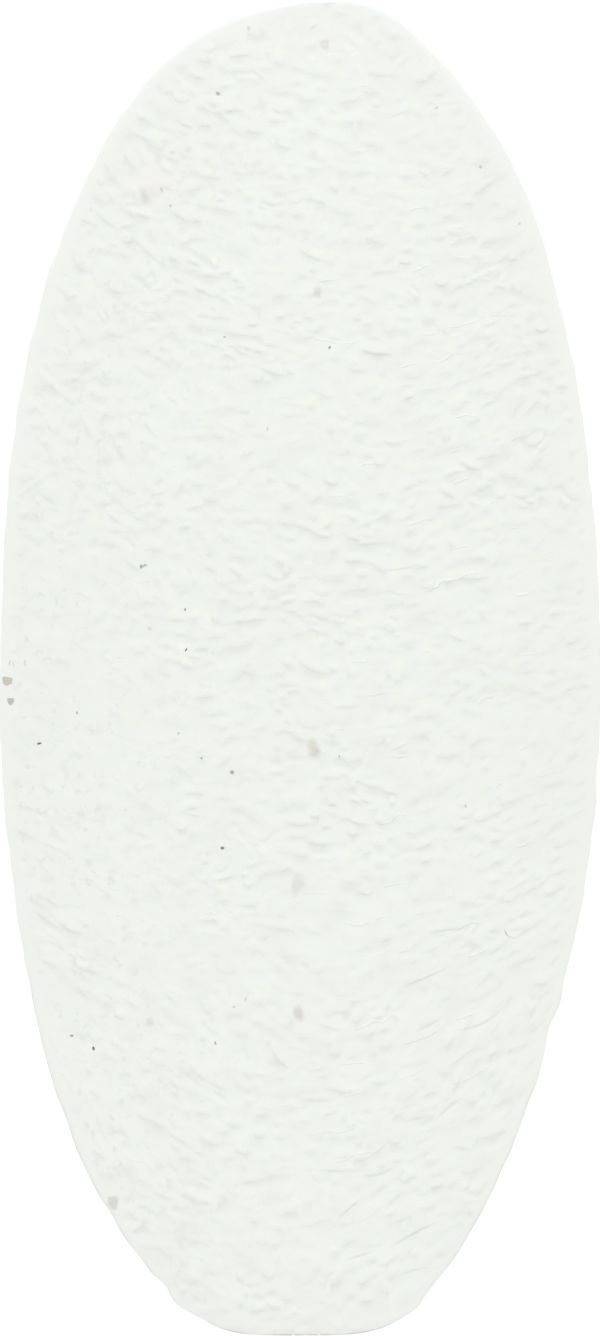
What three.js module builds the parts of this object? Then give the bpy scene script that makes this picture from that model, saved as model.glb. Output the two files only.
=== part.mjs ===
// A cuttlebone: the inner shell of a cuttlefish, one oval piece of chalky lime that lies on its belly.
// Millimetres, +Z up. The rough back of the shell faces up, +Y runs to the whole rear tip and -Y to the
// front edge, which is broken off blunt. The origin is on the resting plane, under the outline's middle.
import * as THREE from "three";
import { mergeVertices } from "three/addons/utils/BufferGeometryUtils.js";

// Driving dimensions
const LENGTH = 140;
const WIDTH = 62.9;
const RIM_THICKNESS = 1.2;
const RIM_HEIGHT = 9; // middle of the rim above the resting plane, at the widest station
const CROWN_HEIGHT = 6; // back above the rim
const BELLY_DEPTH = 9.3; // belly below the rim before the resting patch was worn flat

// Outline: two superellipse halves that meet at the widest station
const WIDEST_Y = -4;
const REAR = { closesAt: LENGTH / 2, bulge: 2.4, roundness: 0.475, rimDrop: 4.6 };
const FRONT = { closesAt: -71.6, bulge: 1.8, roundness: 0.456, rimDrop: 2.4 };
const BROKEN_CORNER_Y = -68.5; // where the flanks meet the broken front edge

// The outline isn't quite even: its tip leans to +X, and two stretches sway to one side
const TIP_LEAN = { shift: 3.3, reach: 2.6 };
const SWAYS = [
  { y: 53, shift: 0.28, reach: 11 },
  { y: -49, shift: -0.62, reach: 17 },
];

// Chips along the edge: which side, where along it, how long and how deep
const CHIPS = [
  { side: 1, y: -32.6, reach: 2.2, depth: 0.35 },
  { side: 1, y: -38.2, reach: 2.0, depth: 0.4 },
  { side: -1, y: -64.2, reach: 1.8, depth: 0.18 },
];

// Growth lines cross the shell as shallow arcs that bulge towards the front
const GROWTH_BOW = 7.2; // sag of the arc across the full width
const GROWTH_BOW_POWER = 1.4; // a shorter line sags less

// Cross-section
const CROWN_POWER = 2.2;
const CROWN_TAPER = 1.5; // how fast the crown fades as the shell narrows
const BELLY_POWER = 2.6;
const BELLY_EDGE = 0.93; // the chambered belly ends here, and a thin flange goes on to the rim
const BELLY_Y = -10; // deepest station of the belly
const BELLY_TO_REAR = { closesAt: REAR.closesAt, taper: 1.7 };
const BELLY_TO_FRONT = { closesAt: -76, taper: 1.1 };

// Low lumps of the back: waves that cross the growth lines at a slant, with the length of each wave across
// the shell and along it
const LUMP_HEIGHT = 0.22;
const LUMP_WAVES = [
  { across: 19, along: 5.3, start: 0.4 },
  { across: -15, along: 6.1, start: 2.1 },
  { across: 34, along: 4.6, start: 4.4 },
  { across: -11, along: 8.3, start: 1.2 },
];
const LUMP_RIM_FADE = 6; // the lumps die out towards the smooth rim

// Facets
const ROWS = 84; // from tip to front, one along each growth line
const BACK_COLUMNS = 40;
const BELLY_COLUMNS = 18;
const TIP_CROWDING = 0.06; // share of the length over which rows crowd together at the round tip
const SAME_POINT = 1e-4; // corners closer than this are one corner

function bump(distance, reach) {
  return Math.exp(-((distance / reach) ** 2));
}

// Half the width between the flanks, before chips
function halfWidth(y) {
  const end = y > WIDEST_Y ? REAR : FRONT;
  const share = Math.abs(y - WIDEST_Y) / Math.abs(end.closesAt - WIDEST_Y);
  return (WIDTH / 2) * Math.max(0, 1 - share ** end.bulge) ** end.roundness;
}

function midline(y) {
  const lean = TIP_LEAN.shift * Math.exp((y - REAR.closesAt) / TIP_LEAN.reach);
  return SWAYS.reduce((x, sway) => x + sway.shift * bump(y - sway.y, sway.reach), lean);
}

function chipDepth(side, y) {
  return CHIPS.filter((chip) => chip.side === side)
    .reduce((depth, chip) => depth + chip.depth * bump(y - chip.y, chip.reach), 0);
}

function rimHeight(y) {
  const end = y > WIDEST_Y ? REAR : FRONT;
  return RIM_HEIGHT - end.rimDrop * ((y - WIDEST_Y) / (end.closesAt - WIDEST_Y)) ** 2;
}

function bellyDepth(y) {
  const end = y > BELLY_Y ? BELLY_TO_REAR : BELLY_TO_FRONT;
  const share = (y - BELLY_Y) / (end.closesAt - BELLY_Y);
  return BELLY_DEPTH * Math.max(0, 1 - share ** 2) ** end.taper;
}

// How far the middle of a growth line sags below its ends
function growthSag(half) {
  return GROWTH_BOW * (half / (WIDTH / 2)) ** GROWTH_BOW_POWER;
}

// Height of the lumps where a growth line, named by the place of its middle, crosses x
function lumps(x, growth) {
  const waves = LUMP_WAVES.map(({ across, along, start }) =>
    Math.sin(2 * Math.PI * (x / across + growth / along) + start),
  );
  return (LUMP_HEIGHT * waves.reduce((sum, wave) => sum + wave)) / waves.length;
}

// Profile of the rounded edge: 0 at its outermost line, and 1 where it meets the back or the belly
function rimRound(across, half) {
  const inset = (1 - Math.abs(across)) * half;
  const share = Math.min(1, inset / (RIM_THICKNESS / 2));
  return Math.sqrt(share * (2 - share));
}

// A point of one growth line, from -1 at the left flank to 1 at the right, on the back or on the belly
function surfacePoint(edgeY, across, onBack) {
  const half = halfWidth(edgeY);
  const chip = chipDepth(Math.sign(across), edgeY) * Math.abs(across);
  const x = midline(edgeY) + across * (half - chip);
  const y = edgeY - growthSag(half) * (1 - across ** 2);
  const edge = (RIM_THICKNESS / 2) * rimRound(across, half);
  const rim = rimHeight(edgeY);
  if (onBack) {
    const crown = CROWN_HEIGHT * (half / (WIDTH / 2)) ** CROWN_TAPER;
    const arch = 1 - Math.abs(across) ** CROWN_POWER;
    const relief = lumps(x, edgeY - growthSag(half)) * (1 - Math.abs(across) ** LUMP_RIM_FADE);
    return [x, y, rim + edge + crown * arch + relief * Math.min(1, crown)];
  }
  const arch = 1 - Math.min(1, Math.abs(across) / BELLY_EDGE) ** BELLY_POWER;
  return [x, y, Math.max(0, rim - edge - bellyDepth(edgeY) * arch)];
}

// Where the two ends of a row lie along the shell: rows crowd at the round tip and are even after it
function rowEdgeY(row) {
  const crowded = (share) => Math.hypot(share, TIP_CROWDING) - TIP_CROWDING;
  const run = crowded(row / (ROWS - 1)) / crowded(1);
  return REAR.closesAt + (BROKEN_CORNER_Y - REAR.closesAt) * run;
}

// A sphere's rings become the growth lines: each runs over the back from left to right and home below
function shellGeometry() {
  const columns = BACK_COLUMNS + BELLY_COLUMNS;
  const geometry = new THREE.SphereGeometry(1, columns, ROWS);
  const position = geometry.getAttribute("position");
  for (let row = 0; row < ROWS; row++) {
    const edgeY = rowEdgeY(row);
    for (let column = 0; column <= columns; column++) {
      const onBack = column <= BACK_COLUMNS;
      const across = onBack
        ? -Math.cos((Math.PI * column) / BACK_COLUMNS)
        : Math.cos((Math.PI * (column - BACK_COLUMNS)) / BELLY_COLUMNS);
      position.setXYZ(row * (columns + 1) + column, ...surfacePoint(edgeY, across, onBack));
    }
  }
  // The broken front face closes on the middle of the last ring
  const [x, y, top] = surfacePoint(BROKEN_CORNER_Y, 0, true);
  const bottom = surfacePoint(BROKEN_CORNER_Y, 0, false)[2];
  for (let column = 0; column <= columns; column++) {
    position.setXYZ(ROWS * (columns + 1) + column, x, y, (top + bottom) / 2);
  }
  geometry.deleteAttribute("normal");
  geometry.deleteAttribute("uv");
  const closed = mergeVertices(geometry, SAME_POINT);
  closed.computeVertexNormals();
  return closed;
}

const chalk = new THREE.MeshStandardMaterial({ color: 0xeff3ed, roughness: 0.95, metalness: 0 });
const shell = new THREE.Mesh(shellGeometry(), chalk);
shell.name = "cuttlebone";

const cuttlebone = new THREE.Group();
cuttlebone.add(shell);

export default cuttlebone;
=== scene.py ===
import math

import bpy
import numpy as np
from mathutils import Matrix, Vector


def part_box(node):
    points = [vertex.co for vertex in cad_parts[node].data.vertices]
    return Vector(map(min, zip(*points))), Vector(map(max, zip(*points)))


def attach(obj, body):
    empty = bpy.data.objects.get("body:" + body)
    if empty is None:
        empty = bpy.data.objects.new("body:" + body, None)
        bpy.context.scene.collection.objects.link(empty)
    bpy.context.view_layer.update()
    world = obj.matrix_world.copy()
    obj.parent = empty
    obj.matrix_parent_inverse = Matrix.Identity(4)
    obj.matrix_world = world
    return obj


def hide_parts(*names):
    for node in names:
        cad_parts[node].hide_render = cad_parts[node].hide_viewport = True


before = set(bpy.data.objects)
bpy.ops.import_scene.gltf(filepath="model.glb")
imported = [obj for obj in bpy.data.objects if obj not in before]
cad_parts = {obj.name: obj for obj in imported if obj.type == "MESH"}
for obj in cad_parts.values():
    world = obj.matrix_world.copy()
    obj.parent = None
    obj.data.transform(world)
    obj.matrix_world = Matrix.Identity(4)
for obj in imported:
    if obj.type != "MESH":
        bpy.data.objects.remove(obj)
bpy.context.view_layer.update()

MM = 0.001
NODE = "cuttlebone"
SEED = 11

# Driving sizes, from the node's own box
node_low, node_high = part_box(NODE)
WIDTH = (node_high.x - node_low.x) / MM
REAR_Y = node_high.y / MM

# Outline: two superellipse halves that meet at the widest station
WIDEST_Y = -4
REAR = dict(closes_at=REAR_Y, bulge=2.4, roundness=0.475, rim_drop=4.6)
FRONT = dict(closes_at=-71.6, bulge=1.8, roundness=0.456, rim_drop=2.4)
BROKEN_CORNER_Y = -68.5  # where the flanks meet the broken front edge
TIP_LEAN = dict(shift=3.3, reach=2.6)
SWAYS = (
    dict(y=53, shift=0.28, reach=11),
    dict(y=-49, shift=-0.62, reach=17),
)

# Chips along the edge: which side, where along it, how long and how deep. A negative depth stands out.
CHIPS = (
    dict(side=1, y=-32.6, reach=2.2, depth=0.35),
    dict(side=1, y=-38.2, reach=2.0, depth=0.4),
    dict(side=-1, y=-57.2, reach=1.2, depth=0.16),
    dict(side=-1, y=-62.3, reach=1.0, depth=0.14),
    dict(side=-1, y=-64.6, reach=0.8, depth=0.45),
    dict(side=-1, y=-66.8, reach=0.9, depth=-0.45),
    dict(side=-1, y=-68.3, reach=0.5, depth=0.35),
    dict(side=1, y=-67.3, reach=1.3, depth=-0.65),
)
RIM_RAGGEDNESS = 0.06  # slight waver of the flanks
RIM_RAGGED_REACH = 0.9
SMOOTH_TIP_HALF_WIDTH = 4  # chips and the waver fade where the shell is narrower

# Cross-section
RIM_THICKNESS = 1.2
RIM_HEIGHT = 9  # middle of the rim above the resting plane, at the widest station
CROWN_HEIGHT = 6  # back above the rim
CROWN_POWER = 2.2
CROWN_TAPER = 1.5  # how fast the crown fades as the shell narrows
BELLY_DEPTH = 9.3  # belly below the rim before the resting patch was worn flat
BELLY_POWER = 2.6
BELLY_EDGE = 0.93  # the chambered belly ends here, and a thin flange goes on to the rim
BELLY_Y = -10  # deepest station of the belly
BELLY_TO_REAR = dict(closes_at=REAR_Y, taper=1.7)
BELLY_TO_FRONT = dict(closes_at=-76, taper=1.1)

# Growth lines cross the shell as shallow arcs that bulge towards the front, and the broken edge is flatter
GROWTH_BOW = 7.2  # sag of the arc across the full width
GROWTH_BOW_POWER = 1.4  # a shorter line sags less
BROKEN_ARC = dict(power=4, sag=1.0, reach=6)

# The scales follow arcs of their own: flatter than the growth lines at the rear and deeper near the front.
# They fall to the right at the rear and rise to the right at the front. In between, a hump left of the
# midline bulges them to the rear, and out on the flanks they are flatter.
SCALE_BOW_REAR = dict(most=0.002, starts=-15, full=20)
SCALE_BOW_FRONT = dict(most=-0.0045, y=-42, reach=14)
SCALE_SLANT_REAR = dict(most=-0.08, starts=10, full=55)
SCALE_SLANT_FRONT = dict(most=0.06, starts=-45, full=-63)
SCALE_HUMP = dict(rise=1.9, x=-4, reach=11, rear=(48, 28), front=(-42, -22))
SCALE_FLANK = dict(starts=17, bow=0.009, front=(-40, -20))

# Grid of the mesh, which is thinned afterwards where the shell is smooth
ROWS = 1000
TIP_CROWDING = 0.05  # share of the length over which rows crowd together at the round tip
BACK_INNER_COLUMNS = 300
RIM_COLUMNS = (0.0, 0.0016, 0.006, 0.0125)  # from the edge inwards, as shares of the half-width
BELLY_COLUMNS = 16
BREAK_RINGS = 9
BREAK_LUMP = 0.3
BREAK_ROUGHNESS = 0.08
BREAK_INSET = 9  # the broken face has the colours of a place so far from the rim
MOST_TRIANGLES = 196_000
SHARP_ANGLE = math.radians(60)

# Fine relief of the back, on a flat map of the shell along and across its growth lines. Scales overlap
# towards the front: each rises gently and ends in a steep ledge. Sizes are medians, in millimetres.
MAP_STEP = 0.1
MAP_HALF_WIDTH = 34
MAP_HALF_LENGTH = 73
MAP_END = 1.001  # keeps a reading within the last cell of a map
RELIEF_STARTS = RIM_THICKNESS / 3
RELIEF_RIM_FADE = 1.1
LUMP = dict(across=0.6, along=0.45, height=0.024)
FINE_LUMP = dict(across=0.32, along=0.26, height=0.006)
LEAN = 4.0  # how far a crest moves to the front, as a multiple of its height
LEAN_ROUNDS = 4
LEDGES = (
    dict(spacing=(1.9, 1.5), half_width=1.05, length=1.8, front=0.3, height=0.195, tilt=math.radians(17)),
    dict(spacing=(5, 3), half_width=1.8, length=1.1, front=0.16, height=0.08, tilt=math.radians(15)),
)
LEDGE_SPREAD = dict(half_width=0.4, length=0.3, height=0.28, front=0.45)
LEDGE_CURL = (-0.15, 0.4)
LEDGE_RISE_POWER = 1.2
LEDGE_REACH = 1.5
LEDGE_CARRY = 0.6  # share of the relief under a scale that shows through it
DISORDER = (  # out on the flanks, scales tilt more at random
    dict(most=1.6, starts=-8, full=-23),
    dict(most=0.8, starts=10, full=24),
)
HOLLOW_REACH = dict(across=0.15, along=0.6)
HOLLOW_DEPTH = 0.065
WARP = dict(across=3.2, along=2.4, shift=0.45)

# How strong the relief is, region by region
ZONE_SWING = dict(across=5, along=4, swing=0.12)
ZONE_LIMITS = (0.35, 1.8)
ZONES = (
    dict(x=-21, y=-10, reach=10, gain=-0.58),
    dict(x=-8, y=12, reach=7, gain=0.25),
    dict(x=-24, y=6, reach=9, gain=-0.42),
    dict(x=17, y=-7, reach=8, gain=-0.3),
    dict(x=1, y=8, reach=12, gain=0.3),
    dict(x=3, y=-15, reach=8, gain=0.2),
    dict(x=-14, y=37, reach=12, gain=0.55),
    dict(x=-5, y=54, reach=9, gain=0.4),
    dict(x=-16, y=-36, reach=9, gain=-0.15),
    dict(x=26, y=24, reach=9, gain=0.4),
    dict(x=11, y=54, reach=6, gain=-0.3),
    dict(x=5, y=-43, reach=8, gain=0.1),
    dict(x=2, y=-61, reach=9, gain=-0.3),
    dict(x=30, y=17, reach=6, gain=0.8),
    dict(x=-30, y=14, reach=5, gain=0.8),
    dict(x=9, y=39, reach=6, gain=0.5),
    dict(x=21, y=48, reach=5, gain=0.4),
    dict(x=0, y=-48, reach=5, gain=-0.35),
    dict(x=-23, y=-28, reach=6, gain=-0.35),
)

# Low lumps of the back, as in the solid but worn lower
SWELL_HEIGHT = 0.05
SWELL_WAVES = (
    dict(across=19, along=5.3, start=0.4),
    dict(across=-15, along=6.1, start=2.1),
    dict(across=34, along=4.6, start=4.4),
    dict(across=-11, along=8.3, start=1.2),
)

# Belly: cross striae behind the smooth last chamber, and a shallow groove along the middle. The broken face
# shows the layers of the shell.
STRIA_PITCH = 0.95
STRIA_HEIGHT = 0.05
STRIA_TINT = 0.45
LAST_CHAMBER_Y = -14
LAST_CHAMBER_BLEND = 3
BELLY_RIM_FADE = 10
GROOVE_DEPTH = 0.5
GROOVE_HALF_WIDTH = 2.4
LAYER = dict(pitch=0.55, tint=0.5, wander=0.4, wander_size=1.5)
STRIPE = dict(low=-0.3, high=1)

# Colours of the chalk, and of what lies on it, with painted shade, painted light and a painted highlight
# among them
CHALK = (0.886, 0.919, 0.875)
CREAM = (0.907, 0.935, 0.842)
LILAC = (0.900, 0.905, 0.874)
# Painted light: a paler colour for the front, which slopes away from the sun
PAINTED_LIGHT = (0.927, 0.955, 0.904)
# Painted shade: a darker colour for the flanks
FLANK_SHADE = (0.872, 0.897, 0.847)
# Painted shade in hollows, creases, hairlines, pits and along the front edge, and the tone of the soft
# blotches
SHADE_AND_BLOTCH = (0.819, 0.8455, 0.798)
HOLLOW_SHADE_TINT = 0.65
# Painted highlight on the lip behind a hairline
LIP_HIGHLIGHT = (0.965, 0.985, 0.945)
# Painted shade of the long creases
CREVICE_SHADE = (0.53, 0.555, 0.515)
RIM = (0.893, 0.907, 0.873)
# Painted shade: the dark line along the front edge
EDGE_SHADE = (0.63, 0.63, 0.61)
PINK = (0.905, 0.885, 0.852)
GROOVE = (0.80, 0.785, 0.70)
TAN = (0.608, 0.56, 0.487)
GREY = (0.555, 0.55, 0.49)
MAUVE = (0.56, 0.52, 0.49)
DARK = (0.16, 0.17, 0.155)

# Mottling, grain and sheen of the chalk, and painted light that makes it paler to the front and painted
# shade that makes it dimmer on the flanks
MOTTLES = (
    dict(size=1.1, detail=3, rarity=(0.42, 0.72), colour=CREAM),
    dict(size=3.5, detail=4, rarity=(0.45, 0.72), colour=LILAC),
)
FRONT_PAINTED_LIGHT = dict(starts=-5, full=-65, most=0.66)
FLANK_PAINTED_SHADE = dict(starts=14, full=2, most=0.4, fades_at=-10, gone_at=-45)
GRAIN = dict(size=0.2, stretch=(1, 1, 1), height=0.004)
STREAK = dict(size=0.5, stretch=(0.5, 1, 1), height=0.007)
SMOOTH_LEFT = dict(side=(-22, -4), least=0.3)
ROUGHNESS = 0.9
SPECULAR = 0.2

# Marks of the back that are finer than the mesh, as shallow dents with painted shade: creases at the feet
# of scales, hairlines with a painted highlight on a lip, and pits to the left; and soft blotches of a
# darker tone
CREASE = dict(low=0.36, high=0.8, fray=0.5, fray_size=0.5, stretch=(0.5, 1, 1), tint=0.5, height=0.02)
HAIRLINES = (
    dict(turn=math.radians(-7), side=(-8, 8), rarity=(0.53, 0.62), tint=0.75, height=0.03, lip=0.8),
    dict(turn=math.radians(6), side=(0, -14), rarity=(0.58, 0.66), tint=0.75, height=0.02, lip=0.2),
)
HAIRLINE = dict(pitch=1.7, width=0.09, wander=2.6, wander_size=3.5, patch=1.6, stretch=(0.4, 1, 1))
# Where the painted highlight of a lip lies behind its hairline, and how wide it is
HAIRLINE_LIP = dict(away=0.19, width=0.12)
HAIRLINE_RIM_FADE = (2, 8)
# Pits: shallow dents with painted shade in them
PIT = dict(size=1.2, side=(5, -22), rarity=(0.64, 0.69), tint=0.9, height=0.02)
BLOTCHES = (
    dict(size=1.4, side=(5, -22), rarity=(0.57, 0.7), tint=0.65),
    dict(size=3.5, rarity=(0.4, 0.7), tint=0.25),
)
MARK_DETAIL = 3
MARK_RIM_FADE = (0.8, 1.6)

# The smooth rim, and the painted shade along its front part: a darker band and a dark line
RIM_TINT = dict(full=0.3, gone=2.0, most=0.6)
FRONT_EDGE_SHADE = dict(width=0.15, band=0.6, band_tint=0.6, at_break=0.5, fades_at=-25, full_at=-55)
EDGE_SHADE_PATCH = dict(size=2.5, rarity=(0.25, 0.7))

# Sockets of a mix node for colours
MIX_FACTOR = 0
MIX_A = 6
MIX_B = 7
MIX_RESULT = 2

# Marks on the back, in millimetres and degrees: spots, most of them along the midline, that may narrow
# towards the front and be cut flat at the rear, a pink stain, long creases drawn as painted shade that may
# be bent, and specks of dirt
SPOT_WANDER = 0.5  # how far noise shakes the edge of a spot, in radii
SOFT_INSIDE_PER_OUTSIDE = 3  # a soft edge reaches so much farther in than out


def spot(x, y, radii, colour, strength, tilt=0, taper=0, flat=1, soft=0.5, bend=0):
    """One mark, with its radii across and along the shell before it is turned."""
    return dict(
        x=x, y=y, radii=radii, colour=colour, strength=strength,
        tilt=tilt, taper=taper, flat=flat, soft=soft, bend=bend,
    )


SPOTS = (
    spot(2.6, 65.4, (0.52, 0.75), TAN, 0.31, tilt=15, taper=0.2, flat=0.75, soft=0.4),
    spot(1.85, 39.3, (0.48, 0.74), MAUVE, 0.34, tilt=5, taper=0.3),
    spot(1.45, -8.4, (0.66, 1.1), TAN, 0.5, tilt=20),
    spot(-0.3, -22.8, (0.7, 1.25), GREY, 0.29, tilt=-22, taper=0.4),
    spot(-0.15, -36.1, (0.58, 0.9), TAN, 0.53, tilt=20),
    spot(-15.7, -37.0, (0.46, 0.5), TAN, 0.34, tilt=10, soft=0.4),
    spot(-19.6, -56.0, (0.58, 0.9), GREY, 0.48, tilt=10, taper=0.3, flat=0.75, soft=0.3),
    spot(-16.3, 49.4, (0.5, 1.1), MAUVE, 0.38, tilt=22, taper=-0.2, soft=0.8),
    spot(-15.5, 49.7, (0.9, 1.0), MAUVE, 0.12, tilt=10, soft=0.9),
    spot(-11.7, 54.3, (0.5, 0.4), MAUVE, 0.28, soft=0.9),
    spot(-14.9, 53.3, (0.4, 0.7), MAUVE, 0.24, tilt=10, soft=0.9),
    spot(-13.3, 54.0, (0.45, 0.25), TAN, 0.32, tilt=15, soft=0.6),
    spot(-30.63, -1.25, (0.56, 0.62), TAN, 0.94, tilt=-12, flat=0.5, soft=0.12),
    spot(-30.3, -3.4, (0.38, 0.5), GREY, 1, taper=0.3, flat=0.5, soft=0.15),
)
STAIN = spot(-15.7, 51.2, (2.6, 2.4), PINK, 0.8, soft=0.9)
LONG_CREASE = dict(half_width=0.16, soft=0.9)
LONG_CREASES = tuple(
    spot(
        x, y, (half_length, LONG_CREASE["half_width"]), CREVICE_SHADE, strength,
        tilt=tilt, soft=LONG_CREASE["soft"], bend=sag / LONG_CREASE["half_width"],
    )
    for x, y, half_length, tilt, sag, strength in (
        (11.9, -59.2, 2.6, 28, -0.12, 0.42),
        (5.2, -56.5, 1.4, 41, -0.05, 0.34),
        (15.5, -46.0, 1.6, 39, -0.1, 0.32),
        (11.9, -47.2, 2.0, 11, 0.1, 0.2),
        (4.0, -52.6, 2.6, -1, 0.15, 0.24),
        (8.4, -52.9, 1.8, 17, 0.35, 0.26),
        (8.2, -50.5, 1.9, 36, 0.2, 0.26),
        (6.3, -61.5, 1.5, 17, 0.05, 0.32),
        (11.8, -63.1, 1.7, 15, -0.25, 0.26),
        (13.0, -32.4, 2.8, 23, 0.08, 0.36),
        (19.0, -37.2, 2.5, 25, 0.45, 0.36),
        (13.5, -37.3, 1.5, 28, 0.05, 0.28),
        (10.3, 10.3, 2.0, 8, 0.2, 0.26),
        (10.4, -8.3, 1.2, 22, 0, 0.28),
    )
)
SPECKS = tuple(
    dict(x=x, y=y, radii=(wide, long), tilt=math.radians(tilt), strength=strength)
    for x, y, wide, long, tilt, strength in (
        (-27.3, -7.9, 0.28, 0.12, 12, 1),
        (-21.6, -39.8, 0.14, 0.23, 12, 1),
        (-8.1, -18.8, 0.24, 0.2, 0, 0.85),
        (-7.1, -10.9, 0.22, 0.28, 35, 0.62),
        (-16.6, 10.6, 0.16, 0.25, 0, 0.62),
        (-16.05, 10.7, 0.22, 0.13, 30, 0.32),
        (-11.9, 1.9, 0.09, 0.26, -28, 1),
        (-8.6, 60.2, 0.32, 0.2, -35, 0.5),
        (3.1, 33.5, 0.15, 0.19, -25, 0.72),
        (-23.9, -38.5, 0.22, 0.14, 0, 0.66),
        (-8.85, -39.2, 0.13, 0.26, 8, 0.5),
        (18.9, 52.5, 0.2, 0.2, 0, 0.4),
        (-12.0, 6.1, 0.12, 0.2, 0, 0.6),
        (-10.3, -9.4, 0.15, 0.18, 0, 0.5),
        (-23.3, -4.7, 0.12, 0.2, 10, 0.5),
        (21.55, -27.75, 0.11, 0.44, 26, 0.34),
        (22.25, -28.2, 0.6, 0.1, -12, 0.13),
        (-14.5, 50.1, 0.14, 0.34, 30, 0.3),
        (-7.9, 34.6, 0.17, 0.12, 0, 0.45),
        (-12.7, -6.8, 0.16, 0.16, 0, 0.4),
        (-15.7, 4.1, 0.24, 0.24, 0, 0.2),
        (-5.4, 67.1, 0.2, 0.34, 0, 0.2),
        (4.1, -9.2, 0.12, 0.18, 0, 0.45),
        (-13.6, 48.4, 0.16, 0.2, 0, 0.3),
        (-28.8, 0.5, 0.14, 0.36, 8, 0.24),
        (-30.4, 0.5, 0.14, 0.32, -15, 0.24),
        (14.3, 58.7, 0.26, 0.12, 30, 0.3),
        (17.3, -14.4, 0.16, 0.2, 0, 0.3),
        (-3.4, 25.0, 0.12, 0.26, 0, 0.25),
        (23.0, 46.6, 0.15, 0.2, 0, 0.25),
        (-6.9, -35.4, 0.2, 0.15, 0, 0.3),
        (-5.7, -34.6, 0.12, 0.26, 0, 0.25),
    )
)
SPECK_EDGE = dict(inside=0.6, outside=1.1, wander=0.8)
SPECK_REACH = 0.9  # a speck ends soon after this distance from its middle
SPECK_FALL = 20
MARK_WANDER_SIZE = 0.3
NOISE_MIDDLE = (0.5, 0.5, 0.5)

# Camera, light and floor
FRAMED_HEIGHT = 139.95
LENS_MM = 500
SENSOR_MM = 36
CLIP_DISTANCES = 10
SKY_STRENGTH = 0.865
SUN_STRENGTH = 0.5
SUN_ELEVATION = math.radians(48)
SUN_ANGLE = math.radians(40)
FLOOR_HALF = 4.0  # in metres
FLOOR_GAP = 0.05
FLOOR_COLOUR = (0.3, 0.3, 0.3, 1)
WHITE = (1, 1, 1, 1)
FLOOR_GLOW = 0.8
FLOOR_SHADE = (0.7, 0.96)


# Outline and cross-section of the shell


def bump(distance, reach):
    return np.exp(-((distance / reach) ** 2))


def by_end(y, rear, front, key, split=WIDEST_Y):
    """A value of the rear half behind the split, and of the front half before it."""
    return np.where(y > split, rear[key], front[key])


def half_width(y):
    closes_at = by_end(y, REAR, FRONT, "closes_at")
    share = np.abs(y - WIDEST_Y) / np.abs(closes_at - WIDEST_Y)
    bulge = by_end(y, REAR, FRONT, "bulge")
    return WIDTH / 2 * np.maximum(0, 1 - share**bulge) ** by_end(y, REAR, FRONT, "roundness")


def midline(y):
    lean = TIP_LEAN["shift"] * np.exp((y - REAR_Y) / TIP_LEAN["reach"])
    return lean + sum(sway["shift"] * bump(y - sway["y"], sway["reach"]) for sway in SWAYS)


def chip_depth(side, y):
    return sum(chip["depth"] * bump(y - chip["y"], chip["reach"]) for chip in CHIPS if chip["side"] == side)


def rim_height(y):
    share = (y - WIDEST_Y) / (by_end(y, REAR, FRONT, "closes_at") - WIDEST_Y)
    return RIM_HEIGHT - by_end(y, REAR, FRONT, "rim_drop") * share**2


def belly_depth(y):
    closes_at = by_end(y, BELLY_TO_REAR, BELLY_TO_FRONT, "closes_at", BELLY_Y)
    share = (y - BELLY_Y) / (closes_at - BELLY_Y)
    taper = by_end(y, BELLY_TO_REAR, BELLY_TO_FRONT, "taper", BELLY_Y)
    return BELLY_DEPTH * np.maximum(0, 1 - share**2) ** taper


def growth_sag(half):
    """How far the middle of a growth line sags below its ends."""
    return GROWTH_BOW * (half / (WIDTH / 2)) ** GROWTH_BOW_POWER


def smooth_step(value):
    value = np.clip(value, 0, 1)
    return value * value * (3 - 2 * value)


def from_to(value, starts, full):
    """0 before the start, and 1 from where it is full on."""
    return smooth_step((value - starts) / (full - starts))


def scale_place(x, growth):
    """Where a point lies along the map of scales, whose level lines are the scales' own arcs."""
    rear, front = SCALE_BOW_REAR, SCALE_BOW_FRONT
    bow = rear["most"] * from_to(growth, rear["starts"], rear["full"])
    bow = bow + front["most"] * bump(growth - front["y"], front["reach"])
    slant = sum(
        part["most"] * from_to(growth, part["starts"], part["full"])
        for part in (SCALE_SLANT_REAR, SCALE_SLANT_FRONT)
    )
    hump = SCALE_HUMP["rise"] * bump(x - SCALE_HUMP["x"], SCALE_HUMP["reach"])
    hump = hump * from_to(growth, *SCALE_HUMP["rear"]) * from_to(growth, *SCALE_HUMP["front"])
    flank = SCALE_FLANK["bow"] * np.maximum(0, np.abs(x) - SCALE_FLANK["starts"]) ** 2
    flank = flank * from_to(growth, *SCALE_FLANK["front"])
    return growth + bow * x**2 - slant * x - hump + flank


def rim_round(inset):
    """Profile of the rounded edge: 0 at its outermost line, and 1 where it meets the back or the belly."""
    share = np.clip(inset / (RIM_THICKNESS / 2), 0, 1)
    return np.sqrt(share * (2 - share))


# Fine relief of the back, drawn on a flat map


def blurred(values, across, along):
    """The map softened over those lengths in millimetres."""
    waves_along = np.fft.fftfreq(values.shape[0], MAP_STEP)[:, None] * along
    waves_across = np.fft.rfftfreq(values.shape[1], MAP_STEP)[None, :] * across
    kept = np.exp(-2 * np.pi**2 * (waves_along**2 + waves_across**2))
    return np.fft.irfft2(np.fft.rfft2(values) * kept, values.shape)


def blurred_noise(rng, shape, across, along):
    """Seeded noise with lumps of that size in millimetres, of unit spread."""
    noise = blurred(rng.standard_normal(shape), across, along)
    return noise / noise.std()


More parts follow.
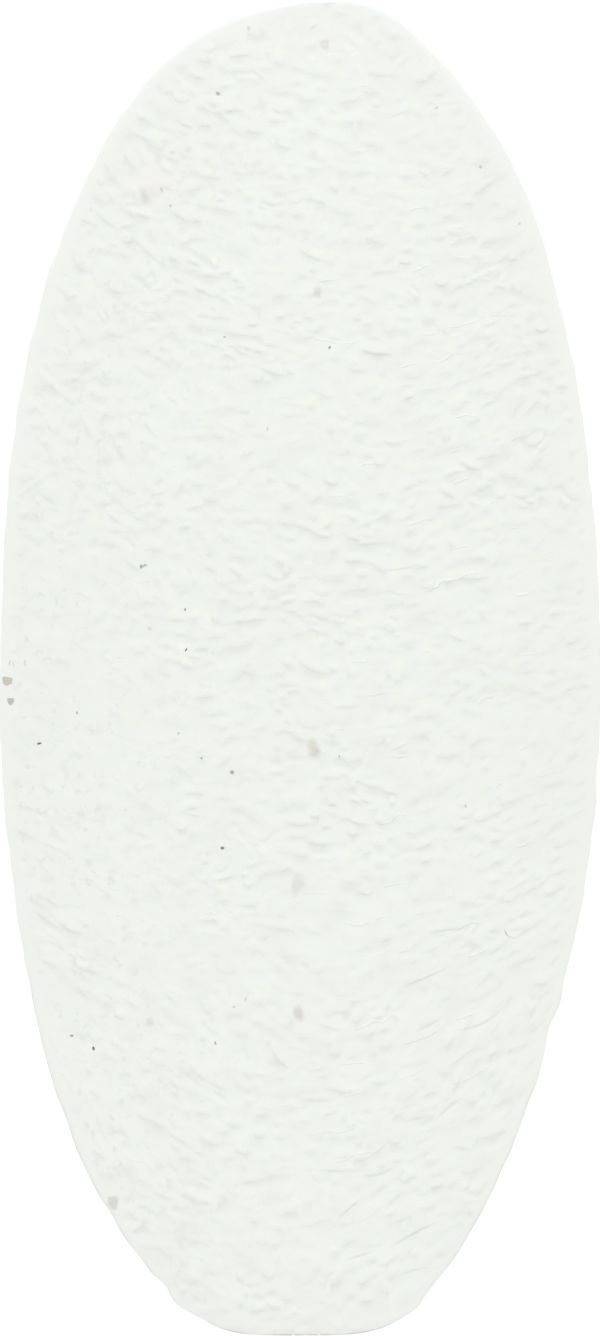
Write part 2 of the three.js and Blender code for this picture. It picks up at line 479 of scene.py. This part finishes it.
def shifted_along(values, shift):
    """The map read at a place moved along the growth direction by shift, in millimetres."""
    rows = np.arange(values.shape[0])[:, None] + shift / MAP_STEP
    rows = np.clip(rows, 0, values.shape[0] - MAP_END)
    low = rows.astype(int)
    share = rows - low
    columns = np.arange(values.shape[1])[None, :]
    return values[low, columns] * (1 - share) + values[low + 1, columns] * share


def leaning(noise):
    """Noise whose crests lean towards the front, so that their front sides are steep."""
    leaned = noise
    for _ in range(LEAN_ROUNDS):
        leaned = shifted_along(noise, LEAN * leaned)
    return leaned


def ledge_places(across, along, spacing, rng):
    """Places for scales: about evenly spread, in no order."""
    columns = np.arange(across[0], across[-1], spacing[0])
    rows = np.arange(along[0], along[-1], spacing[1])
    x, y = np.meshgrid(columns, rows)
    places = np.stack([x.ravel(), y.ravel()], axis=1)
    places += rng.uniform(0, 1, places.shape) * spacing
    return rng.permutation(places)


def spread(rng, ledge, size):
    """One size of a scale, at random about its median."""
    return ledge[size] * math.exp(LEDGE_SPREAD[size] * rng.standard_normal())


def stamp_ledge(heights, across, along, place, ledge, rng):
    """Lays one scale on the map: it rises gently towards the front and drops off steeply there."""
    x, y = place
    half = spread(rng, ledge, "half_width")
    length = spread(rng, ledge, "length")
    height = spread(rng, ledge, "height")
    disorder = sum(side["most"] * from_to(x, side["starts"], side["full"]) for side in DISORDER)
    tilt = ledge["tilt"] * rng.standard_normal() * (1 + disorder)
    front = spread(rng, ledge, "front")
    curl = rng.uniform(*LEDGE_CURL)
    reach = LEDGE_REACH * max(half, length)
    rows = slice(*np.searchsorted(along, (y - reach, y + reach)))
    columns = slice(*np.searchsorted(across, (x - reach, x + reach)))
    dx = across[columns][None, :] - x
    dy = along[rows][:, None] - y
    aside = (dx * math.cos(tilt) + dy * math.sin(tilt)) / half
    up = (dy * math.cos(tilt) - dx * math.sin(tilt)) / length - curl * aside**2
    rise = np.clip(1 - up, 0, 1) ** LEDGE_RISE_POWER
    sides = np.clip(1 - aside**2, 0, 1) ** 2
    shape = smooth_step(up / front) * rise * sides
    under = heights[rows, columns]
    heights[rows, columns] = np.maximum(under, under * LEDGE_CARRY + height * shape)


def relief_maps():
    """Axes of the map, and on it the height of the relief and how deep each place lies in a hollow."""
    rng = np.random.default_rng(SEED)
    across = np.arange(-MAP_HALF_WIDTH, MAP_HALF_WIDTH + MAP_STEP / 2, MAP_STEP)
    along = np.arange(-MAP_HALF_LENGTH, MAP_HALF_LENGTH + MAP_STEP / 2, MAP_STEP)
    shape = (len(along), len(across))
    lumps = sum(
        lump["height"] * blurred_noise(rng, shape, lump["across"], lump["along"])
        for lump in (LUMP, FINE_LUMP)
    )
    ledges = np.zeros(shape)
    for ledge in LEDGES:
        for place in ledge_places(across, along, ledge["spacing"], rng):
            stamp_ledge(ledges, across, along, place, ledge, rng)
    warp = WARP["shift"] * blurred_noise(rng, shape, WARP["across"], WARP["along"])
    heights = shifted_along(leaning(lumps) + ledges, warp)
    swing = blurred_noise(rng, shape, ZONE_SWING["across"], ZONE_SWING["along"])
    gain = 1 + ZONE_SWING["swing"] * swing
    for zone in ZONES:
        away = np.hypot(across[None, :] - zone["x"], along[:, None] - zone["y"])
        gain = gain + zone["gain"] * bump(away, zone["reach"])
    heights = heights * np.clip(gain, *ZONE_LIMITS)
    # How deep each place lies in a hollow, which the material darkens as painted shade
    hollows = (blurred(heights, **HOLLOW_REACH) - heights) / HOLLOW_DEPTH
    return across, along, heights, np.clip(hollows, 0, 1)


def read_map(across, along, values, x, y):
    """The map's value between its own points."""
    column = np.clip((x - across[0]) / MAP_STEP, 0, len(across) - MAP_END)
    row = np.clip((y - along[0]) / MAP_STEP, 0, len(along) - MAP_END)
    left = column.astype(int)
    low = row.astype(int)
    right_share = column - left
    high_share = row - low
    below = values[low, left] * (1 - right_share) + values[low, left + 1] * right_share
    above = values[low + 1, left] * (1 - right_share) + values[low + 1, left + 1] * right_share
    return below * (1 - high_share) + above * high_share


def swells(x, growth):
    """Height of the low lumps where a growth line crosses x."""
    waves = [
        np.sin(2 * np.pi * (x / wave["across"] + growth / wave["along"]) + wave["start"])
        for wave in SWELL_WAVES
    ]
    return SWELL_HEIGHT * sum(waves) / len(waves)


# Mesh of the shell


def row_edges():
    """Where the two ends of each ring lie along the shell, crowded at the round tip."""
    share = np.linspace(0, 1, ROWS)
    crowded = np.hypot(share, TIP_CROWDING) - TIP_CROWDING
    return REAR_Y + (BROKEN_CORNER_Y - REAR_Y) * crowded / crowded[-1]


def back_columns():
    """Places across the back from -1 to 1, with a few close to the rim."""
    rim = 1 - np.array(RIM_COLUMNS)
    inner = np.linspace(-rim[-1], rim[-1], BACK_INNER_COLUMNS + 2)[1:-1]
    return np.concatenate([-rim, inner, rim[::-1]])


def belly_columns():
    return np.cos(np.pi * np.arange(1, BELLY_COLUMNS) / BELLY_COLUMNS)


def rim_raggedness(rng, edge_y):
    """A slight waver of each flank."""
    places = np.arange(-MAP_HALF_LENGTH, MAP_HALF_LENGTH, MAP_STEP)
    waver = blurred_noise(rng, (len(places), 2), 0, RIM_RAGGED_REACH)
    return [RIM_RAGGEDNESS * np.interp(edge_y, places, waver[:, side]) for side in range(2)]


def ring_outline(edge_y, across, half):
    """Where the points of the rings lie as seen from above, with chips and the broken edge."""
    rng = np.random.default_rng(SEED + 1)
    ragged_left, ragged_right = rim_raggedness(rng, edge_y[:, 0])
    taken = np.where(
        across < 0,
        chip_depth(-1, edge_y) + ragged_left[:, None],
        chip_depth(1, edge_y) + ragged_right[:, None],
    )
    fade_at_tip = np.minimum(1, half / SMOOTH_TIP_HALF_WIDTH)
    x = midline(edge_y) + across * (half - taken * fade_at_tip * np.abs(across))
    broken = smooth_step(1 - (edge_y - BROKEN_CORNER_Y) / BROKEN_ARC["reach"])
    flat_arc = BROKEN_ARC["sag"] * (1 - np.abs(across) ** BROKEN_ARC["power"])
    y = edge_y - growth_sag(half) * ((1 - across**2) * (1 - broken) + flat_arc * broken)
    return x, y


def crown_height(across, half):
    """Height of the smooth back over its rim."""
    crown = CROWN_HEIGHT * (half / (WIDTH / 2)) ** CROWN_TAPER
    return crown * (1 - np.abs(across) ** CROWN_POWER)


def belly_drop(edge_y, across):
    """How far the smooth belly hangs below its rim."""
    return belly_depth(edge_y) * (1 - np.minimum(1, np.abs(across) / BELLY_EDGE) ** BELLY_POWER)


def belly_relief(x, growth):
    """Height of the striae of the belly and depth of its groove."""
    striae = STRIA_HEIGHT * np.sin(2 * np.pi * growth / STRIA_PITCH)
    return striae + GROOVE_DEPTH * bump(x, GROOVE_HALF_WIDTH)


def shell_rings():
    """Points of all rings, row by row, with what the material needs to know at each."""
    edge_y = row_edges()[1:, None]
    back = back_columns()[None, :]
    belly = belly_columns()[None, :]
    across = np.concatenate([back, belly], axis=1)
    on_back = np.arange(across.shape[1])[None, :] < back.shape[1]
    half = half_width(edge_y)
    x, y = ring_outline(edge_y, across, half)
    growth = (edge_y - growth_sag(half)) + 0 * across
    inset = (1 - np.abs(across)) * half
    edge = RIM_THICKNESS / 2 * rim_round(inset)
    rim = rim_height(edge_y)

    map_across, map_along, heights, hollows = relief_maps()
    straightened = scale_place(x, growth)
    fine = read_map(map_across, map_along, heights, x, straightened)
    hollow = read_map(map_across, map_along, hollows, x, straightened)
    fade = smooth_step((inset - RELIEF_STARTS) / RELIEF_RIM_FADE)
    back_z = rim + edge + crown_height(across, half) + (fine + swells(x, growth)) * fade

    striated = smooth_step((growth - LAST_CHAMBER_Y) / LAST_CHAMBER_BLEND)
    inner = np.clip((BELLY_EDGE - np.abs(across)) * BELLY_RIM_FADE, 0, 1)
    belly_z = rim - edge - belly_drop(edge_y, across) + belly_relief(x, growth) * striated * inner
    z = np.where(on_back, back_z, np.maximum(0, belly_z))
    return dict(
        points=np.stack([x, y, z], axis=-1),
        place=np.stack([x, np.where(on_back, straightened, growth), z], axis=-1),
        # The inset shrinks towards the broken edge, so that the painted edge shade runs along it too
        inset=np.minimum(inset, (edge_y - BROKEN_CORNER_Y) * FRONT_EDGE_SHADE["at_break"]),
        hollow=hollow * fade * on_back,
        back=on_back + 0 * x,
        belly=striated * inner * ~on_back,
    )


def broken_face(ring, rng):
    """Rings that close the broken front edge, roughened like snapped chalk, and their middle point."""
    across = np.arange(-MAP_HALF_WIDTH, MAP_HALF_WIDTH, MAP_STEP)
    upwards = np.arange(0, RIM_HEIGHT + CROWN_HEIGHT, MAP_STEP)
    lumps = blurred_noise(rng, (len(upwards), len(across)), BREAK_LUMP, BREAK_LUMP)
    middle = ring.mean(axis=0)
    rings = []
    for share in np.arange(1, BREAK_RINGS) / BREAK_RINGS:
        inner = ring + (middle - ring) * share
        rough = read_map(across, upwards, lumps, inner[:, 0], inner[:, 2])
        inner[:, 1] += BREAK_ROUGHNESS * math.sin(math.pi * share) * rough
        rings.append(inner)
    return rings, middle


def grid_faces(rows, columns, first):
    """Quads between rings that are laid one after another."""
    row = np.arange(rows - 1)[:, None] * columns + first
    column = np.arange(columns)[None, :]
    after = (column + 1) % columns
    quads = np.stack([row + column, row + columns + column, row + columns + after, row + after], axis=-1)
    return quads.reshape(-1, 4).tolist()


def add_attribute(mesh, name, kind, values):
    attribute = mesh.attributes.new(name, kind, "POINT")
    field = "vector" if kind == "FLOAT_VECTOR" else "value"
    attribute.data.foreach_set(field, np.asarray(values, np.float32).ravel())


def dense_shell():
    """The closed shell: a point at the tip, a ring for each growth line, and the broken face."""
    rings = shell_rings()
    points = rings["points"]
    rows, columns = points.shape[:2]
    tip = np.array([midline(REAR_Y), REAR_Y, float(rim_height(REAR_Y))])
    break_rings, middle = broken_face(points[-1], np.random.default_rng(SEED + 2))
    vertices = np.concatenate([tip[None], points.reshape(-1, 3), *break_rings, middle[None]])
    faces = grid_faces(rows + len(break_rings), columns, 1)
    last = len(vertices) - 1
    for column in range(columns):
        after = (column + 1) % columns
        faces.append((0, 1 + column, 1 + after))
        faces.append((last - columns + column, last, last - columns + after))
    mesh = bpy.data.meshes.new("cuttlebone_shell")
    mesh.from_pydata((vertices * MM).tolist(), [], faces)

    on_break = len(vertices) - 1 - rows * columns
    place = np.concatenate([tip[None], rings["place"].reshape(-1, 3), vertices[-on_break:]])
    add_attribute(mesh, "growth_place", "FLOAT_VECTOR", place)
    ends = (("inset", 0, BREAK_INSET), ("hollow", 0, 0), ("back", 1, 0), ("belly", 0, 0))
    for name, at_tip, at_break in ends:
        values = np.concatenate([[at_tip], rings[name].ravel(), np.full(on_break, at_break)])
        add_attribute(mesh, name, "FLOAT", values)
    add_attribute(mesh, "broken", "FLOAT", np.arange(len(vertices)) > rows * columns)
    return mesh


def triangle_count(mesh):
    return sum(len(polygon.vertices) - 2 for polygon in mesh.polygons)


def thinned(mesh):
    """The mesh with the faces taken out that its shape needs least."""
    dense = bpy.data.objects.new("dense_shell", mesh)
    bpy.context.scene.collection.objects.link(dense)
    thinning = dense.modifiers.new("thinning", "DECIMATE")
    thinning.ratio = MOST_TRIANGLES / triangle_count(mesh)
    graph = bpy.context.evaluated_depsgraph_get()
    thin = bpy.data.meshes.new_from_object(dense.evaluated_get(graph), depsgraph=graph)
    bpy.data.objects.remove(dense)
    bpy.data.meshes.remove(mesh)
    return thin


def speck_offsets(points):
    """From each point to the nearest speck, in radii of that speck, and how strong the speck is.
    The third part grows with the distance, so that no speck shows half-way between two."""
    centres = np.array([(speck["x"], speck["y"]) for speck in SPECKS])
    radii = np.array([speck["radii"] for speck in SPECKS])
    strengths = np.array([speck["strength"] for speck in SPECKS])
    gaps = points[:, None, :2] - centres[None]
    distances = np.hypot(gaps[..., 0], gaps[..., 1])
    nearest = distances.argmin(axis=1)
    rows = np.arange(len(points))
    tilts = np.array([speck["tilt"] for speck in SPECKS])[nearest]
    dx, dy = gaps[rows, nearest].T
    turned = np.stack([
        dx * np.cos(tilts) + dy * np.sin(tilts),
        dy * np.cos(tilts) - dx * np.sin(tilts),
    ], axis=1)
    across = turned / radii[nearest]
    away = np.maximum(0, distances[rows, nearest] - SPECK_REACH) * SPECK_FALL
    return np.concatenate([across, away[:, None]], axis=1), strengths[nearest]


def build_shell():
    mesh = thinned(dense_shell())
    mesh.name = "cuttlebone_shell"
    mesh.shade_smooth()
    mesh.set_sharp_from_angle(angle=SHARP_ANGLE)
    points = np.empty(3 * len(mesh.vertices))
    mesh.vertices.foreach_get("co", points)
    points = points.reshape(-1, 3) / MM
    offsets, strengths = speck_offsets(points)
    add_attribute(mesh, "speck_offset", "FLOAT_VECTOR", offsets)
    add_attribute(mesh, "speck_strength", "FLOAT", strengths)
    shell = bpy.data.objects.new("cuttlebone_shell", mesh)
    bpy.context.scene.collection.objects.link(shell)
    return shell


# Shader nodes


def add_node(tree, kind, inputs, **settings):
    """A node with its settings, each input set to a value or joined to another node's output."""
    node = tree.nodes.new("ShaderNode" + kind)
    for name, value in settings.items():
        setattr(node, name, value)
    for name, value in inputs.items():
        if isinstance(value, bpy.types.NodeSocket):
            tree.links.new(value, node.inputs[name])
        else:
            node.inputs[name].default_value = value
    return node


def attribute(tree, name, output="Fac"):
    return add_node(tree, "Attribute", {}, attribute_name=name).outputs[output]


def noise(tree, place, size, stretch=(1, 1, 1), detail=2, output="Fac"):
    """Noise with lumps of that size in millimetres."""
    scaled = add_node(tree, "VectorMath", {0: place, 1: stretch}, operation="MULTIPLY").outputs[0]
    inputs = {"Vector": scaled, "Scale": 1 / size, "Detail": detail}
    return add_node(tree, "TexNoise", inputs).outputs[output]


def ramp(tree, value, low, high, to_low=0, to_high=1):
    """The value stretched so that low to high becomes to_low to to_high, and held outside."""
    limits = {"Value": value, "From Min": low, "From Max": high, "To Min": to_low, "To Max": to_high}
    return add_node(tree, "MapRange", limits).outputs[0]


def times(tree, first, second):
    return add_node(tree, "Math", {0: first, 1: second}, operation="MULTIPLY").outputs[0]


def added(tree, first, second):
    return add_node(tree, "Math", {0: first, 1: second}, operation="ADD").outputs[0]


def layer(tree, under, colour, amount):
    """A coat of one colour over what is under it."""
    inputs = {MIX_FACTOR: amount, MIX_A: under, MIX_B: (*colour, 1)}
    return add_node(tree, "Mix", inputs, data_type="RGBA").outputs[MIX_RESULT]


def vector_math(tree, operation, *inputs):
    return add_node(tree, "VectorMath", dict(enumerate(inputs)), operation=operation)


def distance_from(tree, offset, wander_field, wander):
    """Length of an offset that is first shaken by the wander field."""
    moved = vector_math(tree, "MULTIPLY_ADD", wander_field, (wander, wander, 0), offset).outputs["Vector"]
    return vector_math(tree, "LENGTH", moved).outputs["Value"]


# Marks on the back


def speck_cover(tree, wander_field):
    offset = attribute(tree, "speck_offset", "Vector")
    distance = distance_from(tree, offset, wander_field, SPECK_EDGE["wander"])
    cover = ramp(tree, distance, SPECK_EDGE["inside"], SPECK_EDGE["outside"], 1, 0)
    return times(tree, cover, attribute(tree, "speck_strength"))


def spot_cover(tree, position, wander_field, mark):
    """How much a spot covers a place. Its edge is soft, and it may narrow towards the front, be bent or be
    cut flat at the rear."""
    wide, long = mark["radii"]
    centre = (mark["x"] * MM, mark["y"] * MM, 0)
    gap = vector_math(tree, "SUBTRACT", position, centre).outputs["Vector"]
    turn = {"Vector": gap, "Angle": -math.radians(mark["tilt"])}
    turned = add_node(tree, "VectorRotate", turn, rotation_type="Z_AXIS").outputs["Vector"]
    per_radius = (1 / (wide * MM), 1 / (long * MM), 0)
    shares = vector_math(tree, "MULTIPLY", turned, per_radius).outputs["Vector"]
    axes = add_node(tree, "SeparateXYZ", {"Vector": shares})
    narrowing = {0: axes.outputs["Y"], 1: -mark["taper"], 2: 1}
    narrowed = add_node(tree, "Math", narrowing, operation="MULTIPLY_ADD").outputs[0]
    across = times(tree, axes.outputs["X"], narrowed)
    along = axes.outputs["Y"]
    if mark["bend"]:
        squared = times(tree, axes.outputs["X"], axes.outputs["X"])
        along = added(tree, along, times(tree, squared, -mark["bend"]))
    offset = add_node(tree, "CombineXYZ", {"X": across, "Y": along}).outputs["Vector"]
    distance = distance_from(tree, offset, wander_field, SPOT_WANDER)
    to_flat = times(tree, along, 1 / mark["flat"])
    distance = add_node(tree, "Math", {0: distance, 1: to_flat}, operation="MAXIMUM").outputs[0]
    soft = mark["soft"]
    gone_at = 1 + soft / SOFT_INSIDE_PER_OUTSIDE
    return ramp(tree, distance, 1 - soft, gone_at, mark["strength"], 0)


def hairlines(tree, place, sizes):
    """Pieces of thin grooves with painted shade, which wander side by side across the shell, and a painted
    highlight on the lip behind each.
    """
    turn = {"Vector": place, "Angle": sizes["turn"]}
    turned = add_node(tree, "VectorRotate", turn, rotation_type="Z_AXIS").outputs["Vector"]
    across = add_node(tree, "SeparateXYZ", {"Vector": turned}).outputs["Y"]
    wander = times(tree, noise(tree, turned, HAIRLINE["wander_size"]), HAIRLINE["wander"])
    along_line = ramp(tree, noise(tree, turned, HAIRLINE["patch"], HAIRLINE["stretch"]), *sizes["rarity"])
    lines = []
    for shift, width in ((0, HAIRLINE["width"]), (-HAIRLINE_LIP["away"], HAIRLINE_LIP["width"])):
        shifted = added(tree, added(tree, across, wander), shift)
        away = add_node(tree, "Math", {0: shifted, 1: HAIRLINE["pitch"]}, operation="PINGPONG").outputs[0]
        lines.append(times(tree, ramp(tree, away, 0, width, 1, 0), along_line))
    return lines


def sharp_marks(tree, place):
    """How much there is of each crease, hairline, lip, pit and blotch, with its own sizes. Creases,
    hairlines and pits get painted shade, and lips a painted highlight.
    """
    fray = noise(tree, place, CREASE["fray_size"], CREASE["stretch"])
    fray = ramp(tree, fray, 0, 1, -CREASE["fray"] / 2, CREASE["fray"] / 2)
    # Creases: painted shade where the relief's hollows are deepest, frayed by noise
    crease = ramp(tree, added(tree, attribute(tree, "hollow"), fray), CREASE["low"], CREASE["high"])

    marks = [(crease, CREASE)]
    position = add_node(tree, "TexCoord", {}).outputs["Object"]
    inset = attribute(tree, "inset")
    x = add_node(tree, "SeparateXYZ", {"Vector": place}).outputs["X"]
    for sizes in HAIRLINES:
        side = times(tree, ramp(tree, x, *sizes["side"]), ramp(tree, inset, *HAIRLINE_RIM_FADE))
        line, lip = hairlines(tree, place, sizes)
        marks.append((times(tree, line, side), sizes))
        # The lip behind each hairline: a painted highlight
        marks.append((times(tree, lip, side), dict(tint=sizes["lip"], colour=LIP_HIGHLIGHT)))
    # Pits get painted shade; the blotches are a darker tone
    for sizes in (PIT, *BLOTCHES):
        patches = noise(tree, position, sizes["size"] * MM, detail=MARK_DETAIL)
        amount = ramp(tree, patches, *sizes["rarity"])
        if "side" in sizes:
            amount = times(tree, amount, ramp(tree, x, *sizes["side"]))
        marks.append((amount, sizes))
    inner = times(tree, attribute(tree, "back"), ramp(tree, inset, *MARK_RIM_FADE))
    return [(times(tree, amount, inner), sizes) for amount, sizes in marks]


# Materials


def stripes(tree, along, pitch):
    """Even lines across a length, of that pitch."""
    turns = times(tree, along, 2 * math.pi / pitch)
    wave = add_node(tree, "Math", {0: turns}, operation="SINE").outputs[0]
    return ramp(tree, wave, STRIPE["low"], STRIPE["high"])


def hidden_sides(tree, place, colour):
    """Lines along the striae of the belly, and the layers of the shell on its broken face."""
    axes = add_node(tree, "SeparateXYZ", {"Vector": place})
    striae = times(tree, stripes(tree, axes.outputs["Y"], STRIA_PITCH), attribute(tree, "belly"))
    colour = layer(tree, colour, GROOVE, times(tree, striae, STRIA_TINT))
    wander = times(tree, noise(tree, place, LAYER["wander_size"]), LAYER["wander"])
    layers = stripes(tree, added(tree, axes.outputs["Z"], wander), LAYER["pitch"])
    layers = times(tree, layers, attribute(tree, "broken"))
    return layer(tree, colour, GROOVE, times(tree, layers, LAYER["tint"]))


def mottled_chalk(tree, place, y, inset):
    """The plain chalk, paler towards the front by painted light and dimmer on the flanks by painted shade.
    """
    colour = (*CHALK, 1)
    for mottle in MOTTLES:
        patches = noise(tree, place, mottle["size"], detail=mottle["detail"])
        colour = layer(tree, colour, mottle["colour"], ramp(tree, patches, *mottle["rarity"]))
    painted_light = ramp(tree, y, FRONT_PAINTED_LIGHT["starts"] * MM, FRONT_PAINTED_LIGHT["full"] * MM, 0, FRONT_PAINTED_LIGHT["most"])
    colour = layer(tree, colour, PAINTED_LIGHT, painted_light)
    flank_shade = ramp(tree, inset, FLANK_PAINTED_SHADE["starts"], FLANK_PAINTED_SHADE["full"], 0, FLANK_PAINTED_SHADE["most"])
    flank_shade = times(tree, flank_shade, ramp(tree, y, FLANK_PAINTED_SHADE["gone_at"] * MM, FLANK_PAINTED_SHADE["fades_at"] * MM))
    return layer(tree, colour, FLANK_SHADE, flank_shade)


def rim_tint_and_edge_shade(tree, place, y, inset, colour):
    """The smooth rim, and a band and a dark line of painted shade along its front part."""
    smooth = ramp(tree, inset, RIM_TINT["full"], RIM_TINT["gone"], RIM_TINT["most"], 0)
    colour = layer(tree, colour, RIM, smooth)
    front_shade = ramp(tree, y, FRONT_EDGE_SHADE["fades_at"] * MM, FRONT_EDGE_SHADE["full_at"] * MM)
    patches = noise(tree, place, EDGE_SHADE_PATCH["size"])
    front_shade = times(tree, front_shade, ramp(tree, patches, *EDGE_SHADE_PATCH["rarity"]))
    front_shade = times(tree, front_shade, attribute(tree, "back"))
    band = ramp(tree, inset, FRONT_EDGE_SHADE["width"], FRONT_EDGE_SHADE["band"], FRONT_EDGE_SHADE["band_tint"], 0)
    colour = layer(tree, colour, SHADE_AND_BLOTCH, times(tree, front_shade, band))
    # The dark line right at the edge, painted shade
    line = ramp(tree, inset, FRONT_EDGE_SHADE["width"] / 2, FRONT_EDGE_SHADE["width"], 1, 0)
    return layer(tree, colour, EDGE_SHADE, times(tree, front_shade, line))


def spotted(tree, place, position, colour):
    """The stain, the painted shade of the long creases, the spots and the specks of dirt."""
    back = attribute(tree, "back")
    wander = noise(tree, place, MARK_WANDER_SIZE, output="Color")
    wander = vector_math(tree, "SUBTRACT", wander, NOISE_MIDDLE).outputs["Vector"]
    for mark in (STAIN, *LONG_CREASES, *SPOTS):
        cover = spot_cover(tree, position, wander, mark)
        colour = layer(tree, colour, mark["colour"], times(tree, cover, back))
    return layer(tree, colour, DARK, times(tree, speck_cover(tree, wander), back))


def chalk_colour(tree, place, marks):
    position = add_node(tree, "TexCoord", {}).outputs["Object"]
    y = add_node(tree, "SeparateXYZ", {"Vector": position}).outputs["Y"]
    inset = attribute(tree, "inset")
    colour = mottled_chalk(tree, place, y, inset)
    colour = hidden_sides(tree, place, colour)
    # Painted shade in the hollows of the relief
    colour = layer(tree, colour, SHADE_AND_BLOTCH, times(tree, attribute(tree, "hollow"), HOLLOW_SHADE_TINT))
    for amount, sizes in marks:
        colour = layer(tree, colour, sizes.get("colour", SHADE_AND_BLOTCH), times(tree, amount, sizes["tint"]))
    colour = rim_tint_and_edge_shade(tree, place, y, inset, colour)
    return spotted(tree, place, position, colour)


def chalk_height(tree, place, marks):
    """Height of the grain, which is finer to the left, less the depth of the sharp marks."""
    grain, streaks = (
        times(tree, noise(tree, place, kind["size"], kind["stretch"]), kind["height"])
        for kind in (GRAIN, STREAK)
    )
    x = add_node(tree, "SeparateXYZ", {"Vector": place}).outputs["X"]
    coarseness = ramp(tree, x, *SMOOTH_LEFT["side"], SMOOTH_LEFT["least"], 1)
    height = times(tree, added(tree, grain, streaks), coarseness)
    for amount, sizes in marks:
        if "height" in sizes:
            height = added(tree, height, times(tree, amount, -sizes["height"]))
    return height


def chalk_material():
    material = bpy.data.materials.new("chalk")
    material.use_nodes = True
    tree = material.node_tree
    shader = tree.nodes["Principled BSDF"]
    place = attribute(tree, "growth_place", "Vector")
    marks = sharp_marks(tree, place)
    tree.links.new(chalk_colour(tree, place, marks), shader.inputs["Base Color"])
    height = chalk_height(tree, place, marks)
    bumped = add_node(tree, "Bump", {"Height": height, "Strength": 1, "Distance": MM})
    tree.links.new(bumped.outputs["Normal"], shader.inputs["Normal"])
    shader.inputs["Roughness"].default_value = ROUGHNESS
    shader.inputs["Specular IOR Level"].default_value = SPECULAR
    return material


def floor_material():
    """Pale paper that glows evenly, apart from the patch that the shell covers, where the glow fades out
    into a painted contact shadow.
    """
    material = bpy.data.materials.new("floor")
    material.use_nodes = True
    tree = material.node_tree
    shader = tree.nodes["Principled BSDF"]
    shader.inputs["Base Color"].default_value = FLOOR_COLOUR
    shader.inputs["Roughness"].default_value = 1
    shader.inputs["Specular IOR Level"].default_value = 0
    shader.inputs["Emission Color"].default_value = WHITE
    position = add_node(tree, "TexCoord", {}).outputs["Object"]
    per_radius = (2 / (WIDTH * MM), 1 / (REAR_Y * MM), 0)
    offset = vector_math(tree, "MULTIPLY", position, per_radius).outputs["Vector"]
    share = vector_math(tree, "LENGTH", offset).outputs["Value"]
    # The glow fades out under the shell: a painted contact shadow
    glow = ramp(tree, share, *FLOOR_SHADE, 0, FLOOR_GLOW)
    tree.links.new(glow, shader.inputs["Emission Strength"])
    return material


# Floor, light and camera


def add_floor():
    corners = [(-1, -1), (1, -1), (1, 1), (-1, 1)]
    vertices = [(FLOOR_HALF * x, FLOOR_HALF * y, -FLOOR_GAP * MM) for x, y in corners]
    mesh = bpy.data.meshes.new("floor")
    mesh.from_pydata(vertices, [], [(0, 1, 2, 3)])
    mesh.materials.append(floor_material())
    floor = bpy.data.objects.new("floor", mesh)
    bpy.context.scene.collection.objects.link(floor)


def add_light():
    scene = bpy.context.scene
    scene.view_settings.view_transform = "Standard"
    world = bpy.data.worlds.new("sky")
    world.use_nodes = True
    sky = world.node_tree.nodes["Background"]
    sky.inputs["Color"].default_value = WHITE
    sky.inputs["Strength"].default_value = SKY_STRENGTH
    scene.world = world
    lamp = bpy.data.lights.new("sun", "SUN")
    lamp.energy = SUN_STRENGTH
    lamp.angle = SUN_ANGLE
    sun = bpy.data.objects.new("sun", lamp)
    sun.rotation_euler = (-(math.pi / 2 - SUN_ELEVATION), 0, 0)
    scene.collection.objects.link(sun)


def add_camera():
    data = bpy.data.cameras.new("camera")
    data.lens = LENS_MM
    data.sensor_width = SENSOR_MM
    distance = FRAMED_HEIGHT * MM * LENS_MM / SENSOR_MM
    data.clip_end = CLIP_DISTANCES * distance
    camera = bpy.data.objects.new("camera", data)
    camera.location = (0, 0, RIM_HEIGHT * MM + distance)
    bpy.context.scene.collection.objects.link(camera)
    bpy.context.scene.camera = camera


# The finished scene
shell = build_shell()
shell.data.materials.append(chalk_material())
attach(shell, "root")
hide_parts(NODE)
add_floor()
add_light()
add_camera()

bpy.context.view_layer.update()
